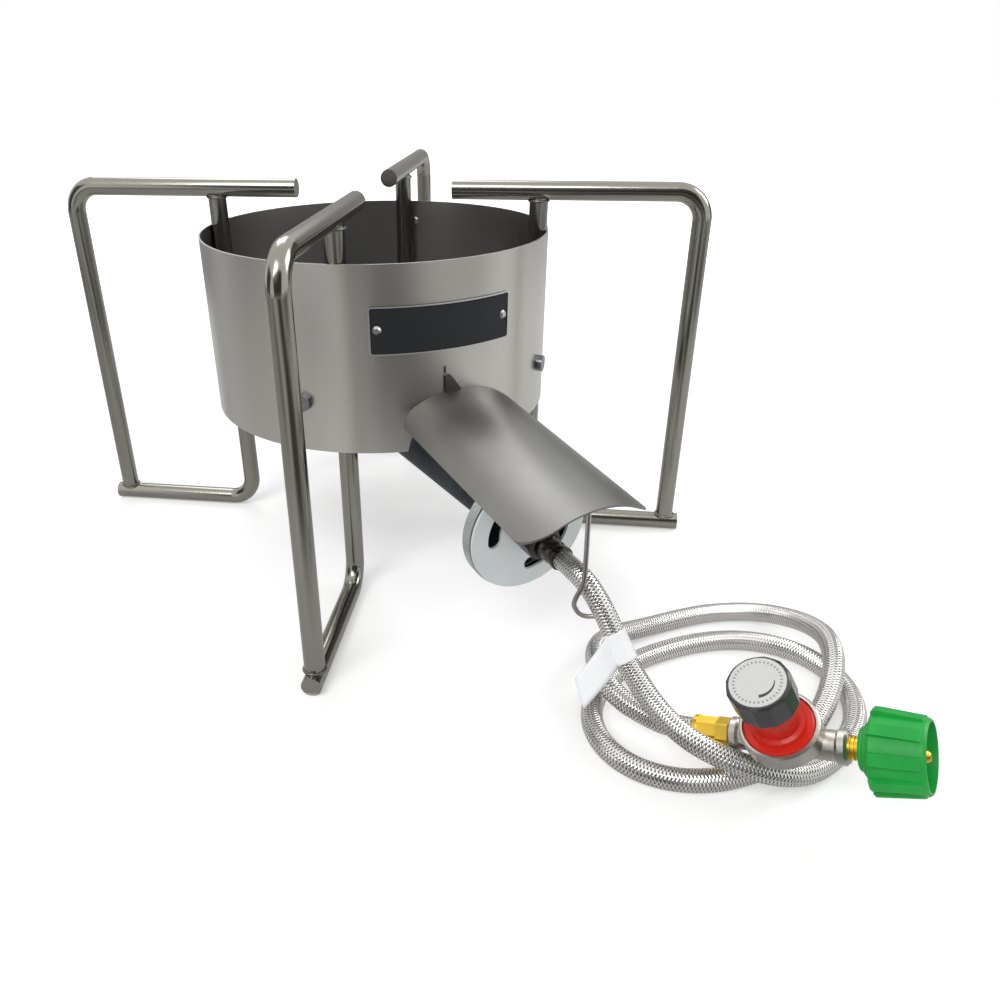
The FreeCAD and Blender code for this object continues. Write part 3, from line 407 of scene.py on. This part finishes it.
def finish_braid(settings):
    """Steel wire braid over the hose, laid out on the hose's own UVs, with painted shade in the gaps between
    the strands.
    """
    made, tree, shader, _where = new_material("wire_braid")
    uv = add_node(tree, "ShaderNodeUVMap", uv_map="route").outputs[0]
    split = add_node(tree, "ShaderNodeSeparateXYZ", {0: uv})
    around = calc(tree, "MULTIPLY", split.outputs["X"], float(settings.strands))
    along = calc(tree, "DIVIDE", split.outputs["Y"], settings.strand_step)
    weave = add_node(tree, "ShaderNodeGroup", node_tree=group("weave"))
    feed(tree, weave.inputs["Around"], around)
    feed(tree, weave.inputs["Along"], along)
    feed(tree, weave.inputs["Wires"], 2.0)
    wire = calc(tree, "MULTIPLY", weave.outputs["Wire"], 0.06)
    height = calc(tree, "ADD", weave.outputs["Height"], wire)
    # The strands' crests are light and the gaps between them near black: the dark in the gaps is painted
    # shade.
    painted_crest_light = spread(tree, height, 0.33, 0.80)
    feed(tree, shader.inputs["Base Color"], mixed(tree, painted_crest_light, (0.05, 0.048, 0.046, 1), (0.98, 0.96, 0.93, 1)))
    feed(tree, shader.inputs["Roughness"], spread(tree, painted_crest_light, 0.0, 1.0, 0.45, 0.22))
    shader.inputs["Metallic"].default_value = 1.0
    raise_by(tree, shader, height, 0.7, 0.0005)
    return made


def finish_paper():
    """Plain white tag stock."""
    made, tree, shader, where = new_material("tag_stock")
    fine = even_grain(tree, where, 1200.0)
    feed(tree, shader.inputs["Base Color"], mixed(tree, fine, (0.92, 0.94, 0.95, 1), (0.95, 0.97, 0.98, 1)))
    shader.inputs["Roughness"].default_value = 0.6
    return made


def dress(material, *names):
    for name in names:
        held = NODES[name].data.materials
        held.clear()
        held.append(material)


# Geometry helpers
def link(name, data):
    made = bpy.data.objects.new(name, data)
    bpy.context.scene.collection.objects.link(made)
    return made


def nurbs_line(name, points, resolution):
    """Points read off one NURBS spline with the given control points."""
    curve = bpy.data.curves.new(name, "CURVE")
    curve.dimensions = "3D"
    spline = curve.splines.new("NURBS")
    spline.points.add(len(points) - 1)
    for held, at in zip(spline.points, points):
        held.co = (*at, 1.0)
    spline.order_u = 3
    spline.use_endpoint_u = True
    spline.resolution_u = resolution
    carrier = link(name, curve)
    drawn = bpy.data.meshes.new_from_object(carrier)
    line = [v.co.copy() for v in drawn.vertices]
    bpy.data.meshes.remove(drawn)
    bpy.data.objects.remove(carrier)
    bpy.data.curves.remove(curve)
    return line


def lengths_along(line):
    run = [0.0]
    for a, b in zip(line, line[1:]):
        run.append(run[-1] + (b - a).length)
    return run


def ring_frames(line):
    """An untwisted frame at each point of the line."""
    frames = []
    side = None
    for i, at in enumerate(line):
        ahead = (line[min(i + 1, len(line) - 1)] - line[max(i - 1, 0)]).normalized()
        if side is None:
            side = ahead.orthogonal().normalized()
        side = (side - ahead * side.dot(ahead)).normalized()
        frames.append(Matrix((side, ahead.cross(side), ahead)).transposed().to_4x4())
        frames[-1].translation = at
    return frames


def tube(bm, line, radius, sides):
    """Rings swept along the line by extruding one circle; returns the rings' vertices."""
    frames = ring_frames(line)
    first = bmesh.ops.create_circle(bm, segments=sides, radius=radius, matrix=frames[0])["verts"]
    rings = [first]
    edges = list({e for v in first for e in v.link_edges})
    for before, after in zip(frames, frames[1:]):
        grown = bmesh.ops.extrude_edge_only(bm, edges=edges)["geom"]
        verts = [g for g in grown if isinstance(g, bmesh.types.BMVert)]
        bmesh.ops.transform(bm, matrix=after @ before.inverted(), verts=verts)
        edges = [g for g in grown if isinstance(g, bmesh.types.BMEdge) and all(v in verts for v in g.verts)]
        rings.append(verts)
    return rings, frames


def mesh_from(name, bm, material):
    bmesh.ops.recalc_face_normals(bm, faces=bm.faces)
    for face in bm.faces:
        face.smooth = True
    mesh = bpy.data.meshes.new(name)
    bm.to_mesh(mesh)
    bm.free()
    mesh.materials.append(material)
    return link(name, mesh)


# Settings
class HoseSettings(bpy.types.PropertyGroup):
    diameter: bpy.props.FloatProperty(
        name="Diameter", description="Outside of the braid", default=0.0128, unit="LENGTH")
    sides: bpy.props.IntProperty(name="Sides", description="Faces round the hose", default=28, min=8)
    strands: bpy.props.IntProperty(
        name="Strands", description="Strands of the braid in each direction", default=9, min=4)
    strand_step: bpy.props.FloatProperty(
        name="Strand step", description="Length along the hose from strand to strand", default=0.0019,
        unit="LENGTH")
    smoothness: bpy.props.IntProperty(
        name="Smoothness", description="Steps between two points of the route", default=12, min=4)


class TagSettings(bpy.types.PropertyGroup):
    thickness: bpy.props.FloatProperty(
        name="Thickness", description="Thickness of the tag stock", default=0.00045, unit="LENGTH")
    flag_length: bpy.props.FloatProperty(
        name="Flag length", description="How far the flag stands off the hose", default=0.038, unit="LENGTH")
    flag_width: bpy.props.FloatProperty(
        name="Flag width", description="Width of the flag along the hose", default=0.018, unit="LENGTH")


class StudioSettings(bpy.types.PropertyGroup):
    key: bpy.props.FloatProperty(
        name="Key", description="Power of the main lamp", default=26.0, subtype="POWER")
    fill: bpy.props.FloatProperty(
        name="Fill", description="Power of the side lamp", default=13.0, subtype="POWER")
    rim: bpy.props.FloatProperty(
        name="Rim", description="Power of the lamp behind", default=12.0, subtype="POWER")
    ambient: bpy.props.FloatProperty(
        name="Ambient", description="Soft light from all round", default=0.45)
    lens: bpy.props.FloatProperty(
        name="Lens", description="Focal length in millimetres", default=30.80)


# Operators
class COOKER_OT_stand(bpy.types.Operator):
    """Steel of the four legs and their welds"""
    bl_idname = "cooker.stand"
    bl_label = "Stand"

    def execute(self, context):
        rod = finish_metal("rod_drawn", (0.34, 0.33, 0.29), (0.30, 0.29, 0.255), (0.20, 0.17),
                           (1, 1, 1), 900.0, 0.0, 12.0)
        legs = ("front", "right", "back", "left")
        dress(rod, *["pot_arm_" + leg for leg in legs], *["foot_rod_" + leg for leg in legs])
        weld = finish_metal("weld_rippled", (0.28, 0.27, 0.24), (0.12, 0.11, 0.10), (0.42, 0.28),
                            (1, 1, 3), 420.0, 0.3, 90.0)
        dress(weld, "weld_beads")
        return {"FINISHED"}


class COOKER_OT_windscreen(bpy.types.Operator):
    """Rolled sheet, nameplate, rivets, brackets and bolts"""
    bl_idname = "cooker.windscreen"
    bl_label = "Windscreen"

    def execute(self, context):
        dress(finish_windscreen(), "windscreen")
        dress(finish_nameplate(), "nameplate")
        alloy = finish_metal("rivet_alloy", (0.70, 0.70, 0.68), (0.48, 0.48, 0.47), (0.4, 0.25), patch=300.0)
        dress(alloy, "nameplate_rivets", "seam_rivets")
        bracket = finish_metal("bracket_strip", (0.34, 0.33, 0.31), (0.18, 0.175, 0.165), (0.5, 0.35),
                               (1, 1, 1), 500.0, 0.08)
        dress(bracket, "burner_brackets")
        zinc = finish_metal("zinc_bolt", (0.30, 0.31, 0.32), (0.16, 0.17, 0.18), (0.34, 0.2), scale=900.0,
                            patch=200.0)
        dress(zinc, "bracket_bolts", "bracket_nuts", "lug_screws", "cap_bolt", "shutter_nut")
        return {"FINISHED"}


class COOKER_OT_burner(bpy.types.Operator):
    """Burner casting, air shutter, gas fittings, heat shield and hose hook"""
    bl_idname = "cooker.burner"
    bl_label = "Burner"

    def execute(self, context):
        dress(finish_casting(), "burner_casting", "burner_cap")
        disc = finish_metal("zinc_disc", (0.84, 0.90, 0.90), (0.78, 0.84, 0.84), (0.44, 0.36), scale=300.0,
                            patch=40.0, metallic=0.3)
        dress(disc, "air_shutter")
        brass = finish_metal("brass_turned", (0.90, 0.59, 0.080), (0.86, 0.56, 0.074), (0.34, 0.32),
                             scale=200.0, patch=60.0)
        dress(brass, "gas_spud", "gas_jet", "outlet_hex", "outlet_crimp", "inlet_nipple")
        # The flare nut's near-black colour is partly its own dark finish and partly painted shade from the
        # shield above it.
        dark = finish_metal("fitting_dark_and_shaded", (0.10, 0.094, 0.088), (0.03, 0.029, 0.027), (0.45, 0.28),
                            scale=800.0, bump=0.08, patch=160.0)
        dress(dark, "flare_nut")
        dress(finish_shield(), "heat_shield")
        # The tab is much darker than the sheet around it: painted shade in the slot between windscreen and
        # shield.
        tab = finish_metal("sheet_painted_shade", (0.15, 0.145, 0.13), (0.09, 0.087, 0.08), (0.4, 0.3), patch=120.0)
        dress(tab, "shield_tab")
        wire = finish_metal("wire_plated", (0.56, 0.55, 0.52), (0.34, 0.33, 0.31), (0.34, 0.2), scale=700.0)
        dress(wire, "hose_hook")
        return {"FINISHED"}


class COOKER_OT_hose(bpy.types.Operator):
    """Braided hose along the part's route, with its paper tag"""
    bl_idname = "cooker.hose"
    bl_label = "Hose and tag"

    def execute(self, context):
        settings = context.scene.cooker_hose
        line = nurbs_line("hose_line", HOSE_ROUTE, settings.smoothness)
        run = lengths_along(line)
        bm = bmesh.new()
        rings, _frames = tube(bm, line, settings.diameter / 2, settings.sides)
        layer = bm.loops.layers.uv.new("route")
        place = {}
        for run_at, ring in zip(run, rings):
            for k, vert in enumerate(ring):
                place[vert] = (k / settings.sides, run_at)
        for face in bm.faces:
            wraps = {place[v][0] for v in face.verts}
            for loop in face.loops:
                u, v = place[loop.vert]
                loop[layer].uv = (u + 1.0 if max(wraps) - min(wraps) > 0.5 and u < 0.5 else u, v)
        hose = mesh_from("braided_hose", bm, finish_braid(settings))
        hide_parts("hose")
        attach(hose, "cooker")
        tag = self.make_tag(context.scene.cooker_tag, line, run, settings)
        return {"FINISHED"}

    def make_tag(self, tag, line, run, hose):
        nearest = min(range(len(line)), key=lambda k: (line[k] - TAG_AT).length)
        part = [p for p, at in zip(line, run) if TAG_SPAN[0] <= at - run[nearest] <= TAG_SPAN[1]]
        if len(part) < 3:
            raise ValueError("the tag finds no place on the hose")
        bm = bmesh.new()
        tube(bm, part, hose.diameter / 2 + tag.thickness * 0.55, hose.sides)
        middle = line[nearest]
        along = (part[-1] - part[0]).normalized()
        face = along.cross(FLAG_DIR).normalized()
        for vert in bmesh.ops.create_grid(bm, x_segments=6, y_segments=12, size=1.0)["verts"]:
            across, out = (vert.co.x + 1) / 2, (vert.co.y + 1) / 2
            reach = tag.flag_length - FLAG_SKEW * (1 - across)
            down = TAG_SPAN[0] + FLAG_TAPER * out * (1 - across) + tag.flag_width * across
            away = hose.diameter / 2 + (reach - hose.diameter / 2) * out
            vert.co = middle + along * down + FLAG_DIR * away + face * FLAG_CURL * out * out
        made = mesh_from("hose_paper_tag", bm, finish_paper())
        thick = made.modifiers.new("stock", "SOLIDIFY")
        thick.thickness = tag.thickness
        thick.offset = 0.0
        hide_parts("hose_tag")
        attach(made, "cooker")
        return made


class COOKER_OT_regulator(bpy.types.Operator):
    """Regulator body, painted bonnet, knob, label and green hand nut"""
    bl_idname = "cooker.regulator"
    bl_label = "Regulator"

    def execute(self, context):
        cast = finish_metal("zinc_cast", (0.58, 0.555, 0.51), (0.46, 0.44, 0.40), (0.4, 0.28), scale=600.0,
                            bump=0.1, patch=90.0)
        dress(cast, "regulator_body")
        crimp = finish_metal("crimp_steel", (0.115, 0.104, 0.089), (0.052, 0.046, 0.040), (0.34, 0.2),
                             scale=800.0, patch=150.0)
        dress(crimp, "burner_crimp", "spring_plate", "spring")
        red = finish_moulded("paint_red", (0.66, 0.022, 0.008), (0.56, 0.017, 0.007), (0.32, 0.42), coat=0.15,
                             bump=0.05, shine=0.3)
        dress(red, "bonnet")
        black = finish_moulded("plastic_black", (0.036, 0.036, 0.037), (0.024, 0.024, 0.025), (0.18, 0.26),
                               bump=0.03, shine=0.7)
        dress(black, "knob", "spring_button")
        rubber = finish_moulded("rubber_sheet", (0.03, 0.03, 0.03), (0.02, 0.02, 0.02), (0.6, 0.8))
        dress(rubber, "diaphragm")
        dress(finish_label(), "knob_label")
        green = finish_moulded("plastic_green", (0.014, 0.40, 0.058), (0.012, 0.34, 0.050), (0.34, 0.46),
                               shine=0.35)
        dress(green, "coupling_nut")
        return {"FINISHED"}


class COOKER_OT_stage(bpy.types.Operator):
    """White floor and surround, three soft lamps, mats and cards that the metal mirrors, and the camera"""
    bl_idname = "cooker.stage"
    bl_label = "Studio"

    def execute(self, context):
        studio = context.scene.cooker_studio
        self.surround(context.scene, studio)
        self.floor()
        self.lamp("key_lamp", (-1.2, -1.0, 1.8), 1.2, studio.key)
        self.lamp("fill_lamp", (1.6, -0.6, 1.2), 1.0, studio.fill)
        self.lamp("rim_lamp", (0.3, 1.4, 1.8), 1.2, studio.rim)
        self.mats()
        self.card("front_card", (-0.9, -1.8, 0.9), (1.5, 1.0), 0.06)
        for card in CARDS:
            self.card(*card)
        lens = bpy.data.cameras.new("view")
        lens.sensor_width = SENSOR_WIDTH
        lens.lens = studio.lens
        lens.shift_x, lens.shift_y = CAMERA_SHIFT
        lens.clip_start = 0.01
        camera = link("view", lens)
        camera.location = CAMERA_AT
        camera.rotation_euler = [math.radians(a) for a in CAMERA_TURN]
        context.scene.camera = camera
        return {"FINISHED"}

    def surround(self, scene, studio):
        world = bpy.data.worlds.new("surround")
        world.use_nodes = True
        tree = world.node_tree
        back = next(n for n in tree.nodes if n.type == "BACKGROUND")
        back.inputs["Color"].default_value = (1, 1, 1, 1)
        feed(tree, back.inputs["Strength"], spread(tree, seen_rays(tree), 0.0, 1.0, studio.ambient, 1.0))
        scene.world = world
        scene.view_settings.view_transform = "Standard"

    def floor(self):
        bm = bmesh.new()
        bmesh.ops.create_grid(bm, x_segments=1, y_segments=1, size=6.0)
        made, tree, shader, where = new_material("floor_pale")
        shader.inputs["Base Color"].default_value = (0.8, 0.8, 0.8, 1)
        shader.inputs["Roughness"].default_value = 0.9
        shader.inputs["Emission Color"].default_value = (1, 1, 1, 1)
        away = spread(tree, from_axis(tree, where), 0.5, 1.3, 0.35, 1.0, smooth=True)
        feed(tree, shader.inputs["Emission Strength"], calc(tree, "MULTIPLY", seen_rays(tree), away))
        mesh_from("floor", bm, made)

    def mats(self):
        """Soft dark mats on the floor that only the metal mirrors"""
        made, tree, shader, where = self.black("dark_mats")
        clear = spread(tree, from_axis(tree, where), 0.55, 1.2, 1.0 - MAT_NEAR, 1.0 - MAT_FAR, smooth=True)
        for at, half, share in MATS:
            away = vec(tree, "DIVIDE", vec(tree, "SUBTRACT", where, (*at, 0)), (*half, 1))
            left = spread(tree, vec(tree, "LENGTH", away), 0.4, 1.0, 1.0 - share, 1.0, smooth=True)
            clear = calc(tree, "MULTIPLY", clear, left)
        feed(tree, shader.inputs["Alpha"], calc(tree, "SUBTRACT", 1.0, clear))
        self.mirrored("dark_mats", Matrix.Translation((0, 0, MAT_LIFT)), 3.0, made)

    def card(self, name, at, half, shade):
        toward = (Vector((0, -0.15, 0.15)) - Vector(at)).to_track_quat("Z", "Y").to_matrix().to_4x4()
        spot = Matrix.Translation(at) @ toward @ Matrix.Diagonal((half[0], half[1], 1, 1))
        made, _tree, shader, _where = self.black(name)
        shader.inputs["Emission Color"].default_value = (1, 1, 1, 1)
        shader.inputs["Emission Strength"].default_value = shade
        self.mirrored(name, spot, 1.0, made)

    def black(self, name):
        made, tree, shader, where = new_material(name)
        shader.inputs["Base Color"].default_value = (0, 0, 0, 1)
        shader.inputs["Specular IOR Level"].default_value = 0.0
        return made, tree, shader, where

    def mirrored(self, name, spot, size, material):
        """A flat board that shows only in reflections"""
        bm = bmesh.new()
        bmesh.ops.create_grid(bm, x_segments=1, y_segments=1, size=size, matrix=spot)
        board = mesh_from(name, bm, material)
        board.visible_camera = False
        board.visible_diffuse = False
        board.visible_shadow = False

    def lamp(self, name, at, size, power):
        data = bpy.data.lights.new(name, "AREA")
        data.size = size
        data.energy = power
        made = link(name, data)
        made.location = at
        made.rotation_euler = (Vector((0, -0.1, 0.1)) - Vector(at)).to_track_quat("-Z", "Y").to_euler()


class COOKER_PT_panel(bpy.types.Panel):
    """Steps of the cooker"""
    bl_idname = "COOKER_PT_panel"
    bl_label = "Cooker"
    bl_space_type = "VIEW_3D"
    bl_region_type = "UI"
    bl_category = "Cooker"

    def draw(self, context):
        for held in ("cooker_hose", "cooker_tag", "cooker_studio"):
            box = self.layout.box()
            group_held = getattr(context.scene, held)
            for name in group_held.__annotations__:
                box.prop(group_held, name)
        for step in STEPS:
            self.layout.operator(step.bl_idname)


SETTINGS = {"cooker_hose": HoseSettings, "cooker_tag": TagSettings, "cooker_studio": StudioSettings}
STEPS = (COOKER_OT_stand, COOKER_OT_windscreen, COOKER_OT_burner, COOKER_OT_hose, COOKER_OT_regulator,
         COOKER_OT_stage)
CLASSES = (*SETTINGS.values(), *STEPS, COOKER_PT_panel)


def register():
    for held in CLASSES:
        bpy.utils.register_class(held)
    for name, held in SETTINGS.items():
        setattr(bpy.types.Scene, name, bpy.props.PointerProperty(type=held))


def unregister():
    for name in SETTINGS:
        delattr(bpy.types.Scene, name)
    for held in reversed(CLASSES):
        bpy.utils.unregister_class(held)


def main():
    register()
    bpy.ops.cooker.stand()
    bpy.ops.cooker.windscreen()
    bpy.ops.cooker.burner()
    bpy.ops.cooker.hose()
    bpy.ops.cooker.regulator()
    bpy.ops.cooker.stage()


if __name__ == "__main__":
    main()
